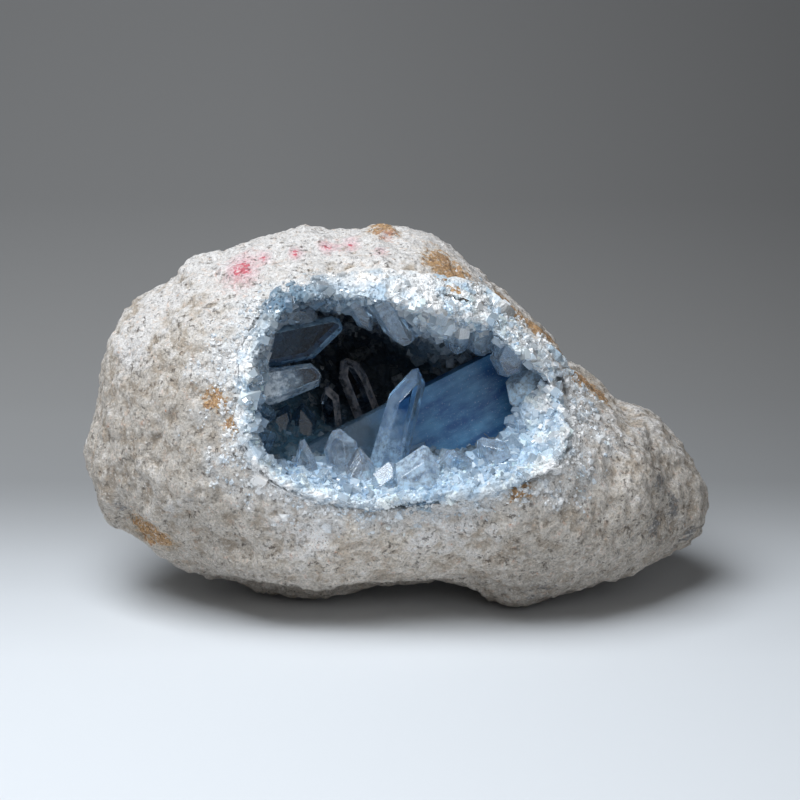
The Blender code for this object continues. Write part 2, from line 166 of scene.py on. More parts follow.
class Nodes:
    """Short ways to add and link nodes in one material."""

    def __init__(self, name):
        self.material = bpy.data.materials.new(name)
        self.material.use_nodes = True
        self.tree = self.material.node_tree
        self.shader = self.tree.nodes["Principled BSDF"]
        self.output = self.tree.nodes["Material Output"]
        self.place = self.add("ShaderNodeTexCoord").outputs["Object"]

    def add(self, kind, **settings):
        node = self.tree.nodes.new(kind)
        for key, value in settings.items():
            setattr(node, key, value)
        return node

    def link(self, source, target):
        self.tree.links.new(source, target)

    def put(self, target, value):
        if isinstance(value, bpy.types.NodeSocket):
            self.link(value, target)
        else:
            target.default_value = value

    def noise(self, size_mm, detail=3.0, roughness=0.55, stretch=None, shift=0.0, turn=0.0, place=None):
        """Noise with features about size_mm wide, 0 to 1. A place handed in is in millimetres."""
        unit = 1.0 if place else MM
        place = place or self.place
        if stretch or shift:
            if turn:
                turned = self.add("ShaderNodeMapping")
                turned.inputs["Rotation"].default_value = (0, math.radians(turn), 0)
                self.link(place, turned.inputs["Vector"])
                place = turned.outputs["Vector"]
            mapping = self.add("ShaderNodeMapping")
            mapping.inputs["Scale"].default_value = stretch or (1, 1, 1)
            mapping.inputs["Location"].default_value = (shift, shift, shift)
            self.link(place, mapping.inputs["Vector"])
            place = mapping.outputs["Vector"]
        node = self.add("ShaderNodeTexNoise")
        self.link(place, node.inputs["Vector"])
        node.inputs["Scale"].default_value = 1 / (size_mm * unit)
        node.inputs["Detail"].default_value = detail
        node.inputs["Roughness"].default_value = roughness
        return node.outputs["Fac"]

    def cells(self, size_mm):
        """The distance to the middle of a cell about size_mm wide."""
        node = self.add("ShaderNodeTexVoronoi")
        self.link(self.place, node.inputs["Vector"])
        node.inputs["Scale"].default_value = 1 / (size_mm * MM)
        return node.outputs["Distance"]

    def ramp(self, value, low, high, start=0.0, end=1.0):
        """Start below low, end above high, and straight between."""
        node = self.add("ShaderNodeMapRange")
        self.link(value, node.inputs["Value"])
        for key, number in (("From Min", low), ("From Max", high), ("To Min", start), ("To Max", end)):
            node.inputs[key].default_value = number
        return node.outputs["Result"]

    def math(self, operation, a, b=0.0):
        node = self.add("ShaderNodeMath", operation=operation)
        self.put(node.inputs[0], a)
        self.put(node.inputs[1], b)
        return node.outputs["Value"]

    def plus(self, a, b):
        return self.math("ADD", a, b)

    def times(self, a, b):
        return self.math("MULTIPLY", a, b)

    def swing(self, value, amount):
        """A value of 0 to 1, centred on 0 and made larger."""
        return self.times(self.math("SUBTRACT", value, 0.5), amount)

    def mix(self, factor, a, b, blend="MIX"):
        node = self.add("ShaderNodeMix", data_type="RGBA", blend_type=blend)
        self.put(node.inputs["Factor"], factor)
        for socket, value in ((node.inputs["A"], a), (node.inputs["B"], b)):
            self.put(socket, (*value, 1.0) if isinstance(value, tuple) else value)
        return node.outputs["Result"]

    def cover(self, colour, over, value, low, high, strength):
        """Lays one colour over another where a value is high."""
        return self.mix(self.ramp(value, low, high, 0.0, strength), colour, over)

    def shade(self, colour, tone_and_painted_light):
        return self.mix(1.0, colour, tone_and_painted_light, "MULTIPLY")

    def along(self, axis):
        """The place along one axis of the object, in metres."""
        split = self.add("ShaderNodeSeparateXYZ")
        self.link(self.place, split.inputs["Vector"])
        return split.outputs[axis]

    def attribute(self, name, output="Fac"):
        return self.add("ShaderNodeAttribute", attribute_name=name).outputs[output]

    def bump(self, height, strength, distance_mm):
        node = self.add("ShaderNodeBump")
        node.inputs["Strength"].default_value = strength
        node.inputs["Distance"].default_value = distance_mm * MM
        self.link(height, node.inputs["Height"])
        return node.outputs["Normal"]

    def set(self, **values):
        for key, value in values.items():
            self.put(self.shader.inputs[key.replace("_", " ")], value)


# Camera, floor and light

CAMERA_TARGET = Vector((0.2, -1.0, 86.6)) * MM
CAMERA_DISTANCE = 0.85
CAMERA_ELEVATION = math.radians(12)
CAMERA_LENS = 85.4


def make_camera():
    camera = bpy.data.objects.new("camera", bpy.data.cameras.new("camera"))
    scene.collection.objects.link(camera)
    camera.data.lens = CAMERA_LENS
    camera.data.sensor_width = 36.0
    back = Vector((0, -math.cos(CAMERA_ELEVATION), math.sin(CAMERA_ELEVATION)))
    camera.location = CAMERA_TARGET + back * CAMERA_DISTANCE
    camera.rotation_euler = (-back).to_track_quat("-Z", "Y").to_euler()
    scene.camera = camera


FLOOR_FRONT = -0.6
FLOOR_BACK = 0.16
SWEEP_RADIUS = 0.55
SWEEP_STEPS = 32
SWEEP_TOP = 1.5
FLOOR_HALF_WIDTH = 2.0


def make_floor():
    """A pale sweep: a level floor that curves up into a wall behind."""
    profile = [(FLOOR_FRONT, 0.0), (FLOOR_BACK, 0.0)]
    for step in range(1, SWEEP_STEPS + 1):
        turn = math.pi / 2 * step / SWEEP_STEPS
        profile.append((FLOOR_BACK + SWEEP_RADIUS * math.sin(turn), SWEEP_RADIUS * (1 - math.cos(turn))))
    profile.append((FLOOR_BACK + SWEEP_RADIUS, SWEEP_TOP))
    vertices, faces = [], []
    for k, (y, z) in enumerate(profile):
        vertices += [(-FLOOR_HALF_WIDTH, y, z), (FLOOR_HALF_WIDTH, y, z)]
        if k:
            faces.append((2 * k - 2, 2 * k - 1, 2 * k + 1, 2 * k))
    mesh = mesh_from("floor", vertices, faces)
    mesh.shade_smooth()
    floor = new_object("floor", mesh)
    mesh.materials.append(backdrop_painted_light())


# Tone of the graduated backdrop by the sum of depth and height along it, in metres: a painted falloff of the
# light, from pale on the floor to grey up the wall
BACKDROP_PAINTED_FALLOFF = (
    (-0.10, 0.94), (-0.02, 0.85), (0.04, 0.72), (0.075, 0.62), (0.11, 0.53), (0.15, 0.45), (0.19, 0.39),
    (0.26, 0.355), (0.33, 0.32), (0.42, 0.29), (0.52, 0.255), (0.63, 0.215), (0.87, 0.20),
)
BACKDROP_LOW = (0.77, 0.80, 0.835)
BACKDROP_HIGH = (0.80, 0.80, 0.80)
HIGH_FROM = 0.4


def backdrop_painted_light():
    """Paint that goes from pale to grey along the sweep, and dims to the right: painted light and shade, for
    the light's falloff up the sweep and away from the lamp on the left.
    """
    nodes = Nodes("backdrop_painted_light")
    reach = nodes.plus(nodes.along("Y"), nodes.along("Z"))
    low, high = BACKDROP_PAINTED_FALLOFF[0][0], BACKDROP_PAINTED_FALLOFF[-1][0]
    ramp = nodes.add("ShaderNodeValToRGB")
    elements = ramp.color_ramp.elements
    while len(elements) < len(BACKDROP_PAINTED_FALLOFF):
        elements.new(0.5)
    for element, (place, tone_and_painted_light) in zip(elements, BACKDROP_PAINTED_FALLOFF):
        element.position = (place - low) / (high - low)
        share = min(1.0, max(0.0, place / HIGH_FROM))
        element.color = (*(tone_and_painted_light * (a + (b - a) * share) for a, b in zip(BACKDROP_LOW, BACKDROP_HIGH)), 1.0)
    nodes.link(nodes.ramp(reach, low, high), ramp.inputs["Fac"])
    # Painted shade to the right and painted light to the left, up the sweep only
    across = nodes.ramp(nodes.along("X"), -0.1, 0.35, 1.25, 0.92)
    painted_side_light = nodes.cover((1.0, 1.0, 1.0), across, reach, 0.0, 0.3, 1.0)
    nodes.set(Base_Color=nodes.shade(ramp.outputs["Color"], painted_side_light), Roughness=0.8)
    return nodes.material


# Place, target, width, height, watts and colour of each light
LIGHTS = {
    "overhead_softbox": ((-0.28, -0.36, 0.88), (0.0, -0.05, 0.0), 0.75, 0.6, 11.6, (0.92, 0.96, 1.0)),
    "front_fill": ((0.4, -1.2, 0.6), (0.0, 0.0, 0.05), 1.2, 0.6, 2.3, (0.97, 0.98, 1.0)),
}
ROOM_COLOUR = (1.0, 0.9, 0.8, 1.0)
ROOM_STRENGTH = 0.04


def make_lights():
    for name, (place, target, width, height, watts, colour) in LIGHTS.items():
        data = bpy.data.lights.new(name, "AREA")
        data.shape = "RECTANGLE"
        data.size = width
        data.size_y = height
        data.energy = watts
        data.color = colour
        light = bpy.data.objects.new(name, data)
        scene.collection.objects.link(light)
        light.location = place
        light.rotation_euler = (Vector(target) - Vector(place)).to_track_quat("-Z", "Y").to_euler()
    world = bpy.data.worlds.new("studio")
    scene.world = world
    world.use_nodes = True
    background = world.node_tree.nodes["Background"]
    background.inputs["Color"].default_value = ROOM_COLOUR
    background.inputs["Strength"].default_value = ROOM_STRENGTH
    scene.view_settings.view_transform = "Standard"


# Small crystals

CELESTITE_IOR = 1.62
SMALL_CRYSTAL_FACES = (
    (0, 1, 5, 4), (1, 2, 6, 5), (2, 3, 7, 6), (3, 0, 4, 7), (4, 5, 9, 8), (6, 7, 8, 9), (7, 4, 8), (5, 6, 9),
    (3, 2, 1, 0),
)
# Scale and share of the two sizes of chunk, and how much each channel of a colour follows them
CHUNK_SCALES = ((6.0, 0.6), (2.6, 0.4))
CHUNK_GAINS = (0.46, 0.32, 0.20)
BRIGHTEST = 0.93


def small_crystal(rng, root, axis, length, width, blunt=0.3):
    """The ten points of a four-sided prism with a chisel edge whose length is at least blunt."""
    facing = axis.orthogonal().normalized()
    facing.rotate(Matrix.Rotation(float(rng.uniform(0, math.tau)), 3, axis))
    across = axis.cross(facing)
    thickness = width * float(rng.uniform(0.45, 0.9))
    point = width * float(rng.uniform(blunt, blunt + 0.5))
    shift = float(rng.uniform(-0.3, 0.3))
    points = []
    for height in (0.0, length - point):
        for u, v in ((1, 1), (-1, 1), (-1, -1), (1, -1)):
            slip = float(rng.uniform(-0.12, 0.12)) * width if height else 0.0
            points.append(root + across * u * width / 2 + facing * v * thickness / 2 + axis * (height + slip))
    for u in (1, -1):
        points.append(root + across * (u * 0.25 + shift) * width / 2 + axis * length * (1 - 0.06 * u))
    return points


def small_crystal_material(name, clear_share, rough):
    """Celestite tinted crystal by crystal, partly cloudy."""
    nodes = Nodes(name)
    tint_and_painted_light = nodes.attribute("tint_and_painted_light", "Color")
    clouds = nodes.times(nodes.ramp(nodes.noise(1.7, 4, 0.7), 0.40, 0.62), 0.5)
    nodes.set(
        Base_Color=nodes.mix(clouds, tint_and_painted_light, nodes.mix(0.6, tint_and_painted_light, (0.86, 0.91, 0.95))),
        Roughness=rough, IOR=CELESTITE_IOR, Specular_IOR_Level=0.45, Transmission_Weight=clear_share,
        Normal=nodes.bump(nodes.noise(1.2, 3, 0.6), 0.5, 0.35),
    )
    return nodes.material


def chunk_tint(point, colour, strength):
    """A colour made deeper and bluer, or paler, by the chunk of crystal that a point belongs to."""
    light = 0.0
    for scale, share in CHUNK_SCALES:
        _, middles = noise.voronoi(point / scale + Vector((scale, 0, 0)))
        light += share * noise.noise(middles[0] * 3.7) * 2.2
    light = strength * max(-1.0, min(1.0, light))
    return tuple(min(BRIGHTEST, max(0.0, c * (1 + light * gain))) for c, gain in zip(colour, CHUNK_GAINS))


def place_on(rng, mesh, polygon):
    """A random place on a face, in millimetres."""
    corners = [mesh.vertices[i].co / MM for i in polygon.vertices]
    weights = rng.dirichlet((1,) * len(corners))
    return sum((c * float(w) for c, w in zip(corners, weights)), Vector())


def leaning(rng, normal, spread):
    """A direction that leans away from a normal at random."""
    return (normal + Vector(rng.normal(0, spread, 3).tolist())).normalized()


class CrystalField:
    """Many small crystals gathered in one mesh, each with its own tint."""

    def __init__(self):
        self.points, self.faces, self.tints = [], [], []

    def add(self, points, tint_and_painted_light):
        start = len(self.points)
        self.points += points
        self.faces += [tuple(start + i for i in face) for face in SMALL_CRYSTAL_FACES]
        self.tints += [tint_and_painted_light] * len(points)

    def finish(self, name, clear_share, rough):
        mesh = mesh_from(name, [point * MM for point in self.points], self.faces)
        paint(mesh, self.tints)
        new_object(name, mesh, "celestite", "crystal_crust")
        mesh.materials.append(small_crystal_material(name, clear_share, rough))


# The rock

ROCK_VOXEL = 1.54
ROCK_SMOOTHING = 6
# Layers of roughness: scale, octaves and height; creases: scale and depth
ROCK_LAYERS = ((22, 2, 1.0), (9, 3, 1.1), (3.4, 3, 0.7))
ROCK_CREASES = ((21, 1.1), (9, 0.6))
CREASE_SEED = 31
ROCK_INSET = 0.5
# Larger forms on the fine rock: centre, reach along each axis, push
ROCK_FORMS = (
    ((-67, -69, 32), (16, 12, 5), (0, -2.5, -1)),
    ((-29, -77, 37), (16, 10, 5), (0, -1.5, 0)),
    ((-29, -74, 26), (30, 10, 5), (0, 2.5, 1)),
    ((25, -58, 19), (16, 10, 6), (0, 3, 1)),
    ((112, -22, 76), (5, 12, 12), (-1.5, 2.5, -1)),
    ((117, -34, 60), (5, 8, 10), (-1.5, 3, 0)),
    ((103, -50, 66), (5, 8, 14), (0, -2, 0)),
    ((-125, -47, 53), (4, 8, 5), (-2, -2, 0)),
    ((-119, -50, 44), (4, 8, 4), (2, 3, 0)),
    ((-128, -30, 62), (4, 9, 4), (2, 2, 0)),
    ((-5, -52, 150), (14, 10, 4), (0, 2.5, -1.5)),
)
# Stains on the rock: centre and reach
RUST = (
    ((18, -31, 154), 8), ((24, -38, 150), 9), ((27, -48, 143), 8), ((30, -52, 138), 7), ((46, -16, 134), 7),
    ((52, -16, 130), 6), ((60, -15, 124), 6.5), ((66, -6, 118), 6), ((72, -14, 109), 5), ((79, -15, 102), 7),
    ((84, -10, 98), 6), ((90, -6, 93), 7), ((-7, 0, 166), 7), ((-67, -81, 94), 5), ((-75, -78, 103), 5),
    ((49, -85, 67), 5), ((-108, -52, 40), 8), ((-102, -56, 37), 6),
)
RED = (
    ((-67, -37, 151), 8), ((-58, -31, 155), 3.4), ((-44, -31, 157), 3.0), ((-31, -24, 159), 3.6),
    ((-27, -24, 160), 3.0), ((-21, -21, 160), 3.8), ((-8, -35, 160), 3.4), ((-5, -12, 163), 3.0),
)
DARK = (
    ((113, -43, 61), 9), ((120, -34, 47), 9), ((129, -18, 29), 9), ((85, -43, 87), 7), ((-6, -52, 150), 6),
    ((6, -53, 148), 6), ((17, -51, 145), 6), ((95, -52, 78), 7), ((-118, -48, 47), 8), ((60, -60, 12), 12),
    ((30, -60, 14), 10), ((-127, -30, 50), 8), ((-80, -72, 78), 8), ((-84, -70, 66), 6), ((108, -45, 40), 9),
)
CHALK = (
    ((-103, -26, 136), 14), ((-114, -47, 120), 11), ((-60, -10, 160), 40), ((0, 0, 166), 40),
    ((40, -10, 145), 20), ((20, -84, 50), 20), ((-40, -82, 50), 18), ((-95, -60, 60), 12),
    ((62, -38, 118), 13),
)
# Each kind of stain: its places, and how far their depth counts
STAINS = {"rust": (RUST, 0.5), "red": (RED, 0.5), "dark": (DARK, 1.0), "chalk": (CHALK, 1.0)}
# Where the rock is paler or darker: centre, reach and by how much. Partly the stone's own tone and partly
# painted light and shade: the lower front is painted paler where light from the floor falls on it, and the
# left face and the foot by the floor are painted darker.
TONES_AND_PAINTED_LIGHT = (
    ((-105, -50, 85), 40, -0.16), ((-20, -86, 42), 46, 0.36), ((58, -24, 124), 20, 0.35),
    ((60, -60, 14), 26, -0.22), ((92, -66, 60), 30, 0.08), ((118, -30, 60), 22, -0.08),
    ((-60, -70, 12), 36, -0.30),
)


def spots(point, places, depth_share):
    """How strongly a point is marked by the nearest of some places, 0 to 1."""
    flat = Vector((1.0, depth_share, 1.0))
    return max(near(point * flat, Vector(centre) * flat, reach) for centre, reach in places)


def crease(point, scale):
    return max(0.0, 1 - 5 * abs(fractal(point, scale, 2, CREASE_SEED)))


def rock_push(point, normal):
    """How far a point of the smooth rock is moved by roughness, creases and the larger forms."""
    push = sum(size * fractal(point, scale, octaves, scale) for scale, octaves, size in ROCK_LAYERS)
    push -= sum(size * crease(point, scale) for scale, size in ROCK_CREASES)
    moved = normal * (push - ROCK_INSET)
    for centre, reach, amount in ROCK_FORMS:
        away = sum(((point[i] - centre[i]) / reach[i]) ** 2 for i in range(3))
        if away < 9:
            moved += Vector(amount) * math.exp(-away)
    return moved


def rock_tone_and_painted_light(point):
    return 1 + sum(size * near(point, centre, reach) for centre, reach, size in TONES_AND_PAINTED_LIGHT)


def recess(point):
    """How hollow the roughness is at a point, from the two finer layers."""
    return -0.6 * fractal(point, 9, 3, 9) - 0.6 * fractal(point, 3.4, 3, 3.4)


def make_rock():
    """The nodule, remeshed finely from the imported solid, then roughened."""
    rock = new_object("rock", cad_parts["geode_matrix"].data.copy(), "limestone", "geode_matrix")
    rock.data.materials.clear()
    weld = rock.modifiers.new("weld", "WELD")
    weld.merge_threshold = 0.01 * MM
    remesh = rock.modifiers.new("remesh", "REMESH")
    remesh.mode = "VOXEL"
    remesh.voxel_size = ROCK_VOXEL * MM
    smooth = rock.modifiers.new("smooth", "SMOOTH")
    smooth.factor = 0.5
    smooth.iterations = ROCK_SMOOTHING
    apply_modifiers(rock)
    mesh = rock.data
    normals = [v.normal.copy() for v in mesh.vertices]
    for vertex, normal in zip(mesh.vertices, normals):
        moved = vertex.co + rock_push(vertex.co / MM, normal) * MM
        vertex.co = [min(max(moved[i], BOX_LOW[i]), BOX_HIGH[i]) for i in range(3)]
    mesh.update()
    points = [v.co / MM for v in mesh.vertices]
    store(mesh, "sugar", [sugar(point) for point in points])
    for name, (places, depth_share) in STAINS.items():
        store(mesh, name, [spots(point, places, depth_share) for point in points])
    # The tone holds painted light and shade as well as the stone's own tone
    store(mesh, "tone_and_painted_light", [rock_tone_and_painted_light(point) for point in points])
    store(mesh, "upward", [max(0.0, v.normal.z) for v in mesh.vertices])
    store(mesh, "recess", [recess(point) for point in points])
    mesh.shade_smooth()
    mesh.materials.append(limestone())
    return rock


# How far the crystalline grains run out over the rock, by angle round the mouth
SUGAR_REACH = (16, 9, 7, 6, 6, 4, 4, 8, 15, 20, 18, 15, 13, 13, 12, 14, 18, 22)
SUGAR_DEPTH = 55
SUGAR_RAGGEDNESS = 0.65


def sugar(point):
    """How crystalline the rock is at a point: 1 at the mouth and 0 beyond its reach."""
    out = point - MOUTH_CENTRE - CENTRING
    if out.y > SUGAR_DEPTH:
        return 0.0
    angle = math.atan2(out.z, out.x)
    away = math.hypot(out.x, out.z) - around(MOUTH_RADII, angle)
    ragged = SUGAR_RAGGEDNESS * fractal(point, 9, 3, 5.0)
    return min(1.0, max(0.0, 1.2 - away / around(SUGAR_REACH, angle) + ragged))


GRAIN_SEED = 3
GRAIN_DENSITY = 0.45
GRAIN_LENGTH = 1.2
GRAIN_TINT = (0.82, 0.85, 0.88)
# Beyond this a face looks back at the mouth's middle, so it is the hollow's wall and has no grains
GRAIN_BACK = -40


def make_grains(rock):
    """Crystal grains on the rock round the mouth, thinning out away from it."""
    mesh = rock.data
    rng = np.random.default_rng(GRAIN_SEED)
    masks = mesh.attributes["sugar"].data
    field = CrystalField()
    for polygon in mesh.polygons:
        mask = masks[polygon.vertices[0]].value
        if mask <= 0 or polygon.normal.dot(polygon.center / MM - MOUTH_CENTRE) < GRAIN_BACK:
            continue
        for _ in range(int(rng.poisson(polygon.area / MM ** 2 * GRAIN_DENSITY * mask ** 2))):
            root = place_on(rng, mesh, polygon)
            length = GRAIN_LENGTH * float(rng.lognormal(0.0, 0.45))
            axis = leaning(rng, polygon.normal, 0.5)
            points = small_crystal(rng, root - axis * 0.5 * length, axis, length, length * 0.8)
            if past_box(points):
                continue
            light = float(rng.lognormal(0.0, 0.15))
            field.add(points, chunk_tint(root, tuple(c * light for c in GRAIN_TINT), 0.7))
    field.finish("edge_grains", 0.25, 0.5)


# Colours of the stone and of what lies on it
STONE = {
    "ground": (0.56, 0.49, 0.41), "mottle": (0.74, 0.68, 0.61), "cream": (0.80, 0.76, 0.71),
    "hollow_dark": (0.46, 0.38, 0.30), "pale_cover": (0.90, 0.88, 0.87), "vein_rim": (0.30, 0.28, 0.26),
    "vein": (0.22, 0.23, 0.25), "streak": (0.27, 0.25, 0.23), "sugar": (0.82, 0.83, 0.84),
    "rust_rim": (0.70, 0.54, 0.36), "rust_deep": (0.38, 0.19, 0.07), "rust_pale": (0.66, 0.40, 0.18),
    "pink": (0.86, 0.36, 0.44), "red": (0.70, 0.06, 0.11), "fleck": (0.86, 0.83, 0.80),
    "speck": (0.30, 0.25, 0.20), "pit": (0.15, 0.12, 0.10),
}


def stone_ground(nodes, ragged):
    """Beige and grey mottling, darker in the hollows, paler on upward faces and at the chalk places, dark
    veins and slanting streaks.
    """
    colour = nodes.cover(STONE["ground"], STONE["mottle"], nodes.noise(11, 5, 0.65), 0.36, 0.64, 1.0)
    colour = nodes.cover(colour, STONE["cream"], ragged, 0.42, 0.62, 1.0)
    hollow = nodes.attribute("recess")
    # Darker where the roughness is hollow
    colour = nodes.cover(colour, STONE["hollow_dark"], hollow, 0.02, 0.32, 0.7)
    # Paler on upward faces and at the chalk places
    paler_up = nodes.plus(nodes.times(nodes.attribute("upward"), 0.7), nodes.attribute("chalk"))
    paler_up = nodes.math("SUBTRACT", paler_up, nodes.times(hollow, 0.8))
    paler_up = nodes.plus(paler_up, nodes.swing(ragged, 1.6))
    colour = nodes.cover(colour, STONE["pale_cover"], paler_up, 0.38, 0.95, 0.9)
    veins = nodes.noise(5.0, 5, 0.7, stretch=(1.0, 0.5, 2.2), shift=5.0)
    dim = nodes.plus(nodes.attribute("dark"), nodes.swing(veins, 2.2))
    colour = nodes.cover(colour, STONE["vein_rim"], dim, 0.45, 0.95, 0.35)
    colour = nodes.cover(colour, STONE["vein"], dim, 0.72, 0.80, 0.7)
    streaks = nodes.ramp(nodes.noise(2.4, 4, 0.7, stretch=(0.22, 1.0, 1.0), shift=2.0, turn=38), 0.55, 0.63)
    streaks = nodes.times(streaks, nodes.ramp(nodes.along("X"), 0.02, 0.08, 0.12, 0.6))
    colour = nodes.mix(streaks, colour, STONE["streak"])
    # Painted light and shade by place, together with the stone's own tone
    colour = nodes.shade(colour, nodes.attribute("tone_and_painted_light"))
    return nodes.cover(colour, STONE["sugar"], nodes.attribute("sugar"), 0.1, 0.8, 0.85)


def stone_stains(nodes, colour, fine, ragged):
    """Rust and pink marks, whose edges follow the noise."""
    edge = nodes.swing(ragged, 2.4)
    rusty = nodes.plus(nodes.attribute("rust"), edge)
    colour = nodes.cover(colour, STONE["rust_rim"], rusty, 0.0, 0.45, 0.5)
    rust = nodes.cover(STONE["rust_deep"], STONE["rust_pale"], fine, 0.35, 0.65, 1.0)
    colour = nodes.cover(colour, rust, rusty, 0.40, 0.52, 0.9)
    smudge = nodes.plus(nodes.attribute("red"), nodes.times(edge, 0.6))
    colour = nodes.cover(colour, STONE["pink"], smudge, 0.1, 0.8, 0.5)
    return nodes.cover(colour, STONE["red"], smudge, 0.84, 0.92, 0.8)


def limestone():
    """Pale chalky stone with its stains, a fine grain, flecks, specks and dark pits."""
    nodes = Nodes("limestone")
    fine = nodes.noise(1.1, 4, 0.75)
    ragged = nodes.noise(3.0, 5, 0.7, shift=1.0)
    colour = stone_stains(nodes, stone_ground(nodes, ragged), fine, ragged)
    colour = nodes.shade(colour, nodes.ramp(fine, 0.30, 0.68, 0.62, 1.22))
    colour = nodes.cover(colour, STONE["fleck"], nodes.noise(1.5, 3, 0.7, shift=9.0), 0.56, 0.62, 0.55)
    colour = nodes.cover(colour, STONE["speck"], nodes.noise(0.9, 2, 0.6, shift=4.0), 0.60, 0.66, 0.5)
    pits = nodes.ramp(nodes.noise(2.3, 4, 0.75, shift=3.0), 0.58, 0.62)
    pits = nodes.times(pits, nodes.ramp(nodes.noise(9, 2, shift=7.0), 0.42, 0.60, 0.25, 1.0))
    colour = nodes.mix(nodes.times(pits, 0.75), colour, STONE["pit"])
    height = nodes.plus(fine, nodes.times(pits, -0.9))
    height = nodes.plus(height, nodes.times(ragged, 1.2))
    nodes.set(Base_Color=colour, Roughness=0.92, Normal=nodes.bump(height, 1.0, 1.0))
    return nodes.material


# The crust that lines the hollow

# Rows from the rock's edge to the opening: depth, and share of the way from the opening to the mouth
RIM_ROWS = ((4, 1.35), (0.4, 1.02), (-0.8, 0.8), (0, 0.62), (3, 0.46), (6, 0.3), (12, 0.14), (22, 0.0))
# Rows of the cave behind: depth, and share of the opening's radius
CAVE_ROWS = ((36, 1.04), (52, 0.98), (67, 0.84), (80, 0.62), (88, 0.36), (91, 0.10))
LINING_SIDES = 230
LINING_STEP = 1.3
# Roughly how many millimetres a share of one is across the rim, and how many times that in the cave
RIM_SPAN = 14
CAVE_SPANS = 3
# Rows further out than this share lie on the rock
BROKEN_SHARE = 0.5
LINING_LAYERS = ((11, 1.5), (4.5, 0.9))
LINING_CELLS = ((3.2, 1.5), (1.5, 0.6))
BACK_DEPTHS = (98, 90, 80, 68, 55, 42, 30, 18, 8)
BACK_GAP = 0.5
BACK_ZONE = -1.0
# Where the cave's wall stands further in: centre, reach, push
LINING_LUMPS = (
    ((22, 4, 118), 22, (-2, -8, -12)),
    ((30, 12, 96), 20, (-3, -8, 0)),
    ((-4, -52, 128), 15, (0, 3, 7)),
    ((-44, -46, 132), 16, (-2, 3, 6)),
    ((64, -42, 86), 12, (-7, 0, 0)),
    ((70, -36, 97), 12, (-7, -2, 0)),
    ((-53, -62, 76), 14, (-4, 4, -7)),
)


def rock_radius(angle, depth):
    return around(MOUTH_RADII, angle) * float(np.interp(depth, *zip(*HOLLOW_PROFILE)))


def lining_radius(angle, depth, share, in_rim):
    """The radius of a row of the lining. Out on the rock it varies, so that the edge is ragged."""
    opening, mouth = around(OPENING_RADII, angle), around(MOUTH_RADII, angle)
    if in_rim and share > BROKEN_SHARE:
        ragged = min(0.05, fractal(Vector((math.cos(angle), math.sin(angle), 0.0)) * 60, 24, 2, 17.0))
        return opening + (mouth - opening) * share * (1 + 0.5 * (share - BROKEN_SHARE) * ragged)
    wanted = opening + (mouth - opening) * share if in_rim else opening * share
    return min(wanted, rock_radius(angle, depth) - LEAST_CRUST)


def make_skin():
    """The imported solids' outer surface, to lay the broken rim on."""
    graph = bpy.context.evaluated_depsgraph_get()
    trees = [BVHTree.FromObject(node, graph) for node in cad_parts.values()]

    def surface_y(x, z):
        hits = [tree.ray_cast(Vector((x, -200, z)) * MM, Vector((0, 1, 0)))[0] for tree in trees]
        return min((hit.y / MM for hit in hits if hit), default=None)

    return surface_y


def lay_on_skin(ring, lift):
    """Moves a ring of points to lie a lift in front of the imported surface, evened along the ring."""
    found = [SKIN(p.x, p.z) for p in ring]
    found = [p.y if y is None else y for p, y in zip(ring, found)]
    count = len(ring)
    for i, point in enumerate(ring):
        nearby = sorted(found[(i + k) % count] for k in range(-4, 5))
        point.y = sum(nearby[2:7]) / 5 - lift
    return ring


def lining_rows():
    """(zone, depth, share, in_rim) of each row, with zone 0 at the edge, 1 at the neck and 4 at the back."""
    knots = [(k / (len(RIM_ROWS) - 1), *row, True) for k, row in enumerate(RIM_ROWS)]
    knots += [(1 + 3 * (k + 1) / len(CAVE_ROWS), *row, False) for k, row in enumerate(CAVE_ROWS)]
    rows = []
    for (zone, depth, share, in_rim), end in zip(knots, knots[1:]):
        to_rim = end[3]
        if in_rim and not to_rim:
            share = 1.0
        spans = 1 if to_rim else CAVE_SPANS
        reach = math.hypot(end[1] - depth, RIM_SPAN * (end[2] - share) * spans)
        steps = max(1, round(reach / LINING_STEP))
        for step in range(steps):
            f = step / steps
            rows.append((*(x + (y - x) * f for x, y in zip((zone, depth, share), end)), to_rim))
    rows.append(knots[-1])
    return rows


def cell_height(point, scale):
    """Small pyramids, 1 at a cell's middle and falling away from it."""
    distances, _ = noise.voronoi(point / scale)
    return 1 - 1.6 * distances[0]


def lining_points():
    """The shell's points by rings, their zones, and how many of the rings face the hollow."""
    angles = [math.tau * k / LINING_SIDES for k in range(LINING_SIDES)]
    rows = lining_rows()
    points, zones = [], []
    for zone, depth, share, in_rim in rows:
        ring = [hollow_point(angle, lining_radius(angle, depth, share, in_rim), depth) for angle in angles]
        if in_rim and share > BROKEN_SHARE:
            ring = lay_on_skin(ring, -depth)
        points += ring
        zones += [zone] * LINING_SIDES
    for depth in BACK_DEPTHS:
        points += [hollow_point(angle, rock_radius(angle, depth) - BACK_GAP, depth) for angle in angles]
        zones += [BACK_ZONE] * LINING_SIDES
    return points, zones, len(rows)


def lining_faces(ring_count, front_rings):
    """Faces between the rings. At the bottom of the cave the front and the back get a lid each."""
    faces = []
    for ring in range(ring_count):
        if ring == front_rings - 1:
            continue
        low, high = ring * LINING_SIDES, ((ring + 1) % ring_count) * LINING_SIDES
        for k in range(LINING_SIDES):
            n = (k + 1) % LINING_SIDES
            faces.append((low + k, high + k, high + n, low + n))
    inner, outer = (ring * LINING_SIDES for ring in (front_rings - 1, front_rings))
    faces.append(tuple(inner + k for k in reversed(range(LINING_SIDES))))
    faces.append(tuple(outer + k for k in range(LINING_SIDES)))
    return faces


def lining_push(point):
    """How far the crust stands out at a point: two layers of noise and two of small pyramids."""
    push = sum(size * fractal(point, scale, 2, scale) for scale, size in LINING_LAYERS)
    push += sum(size * cell_height(point, scale) for scale, size in LINING_CELLS) - 0.6
    return push


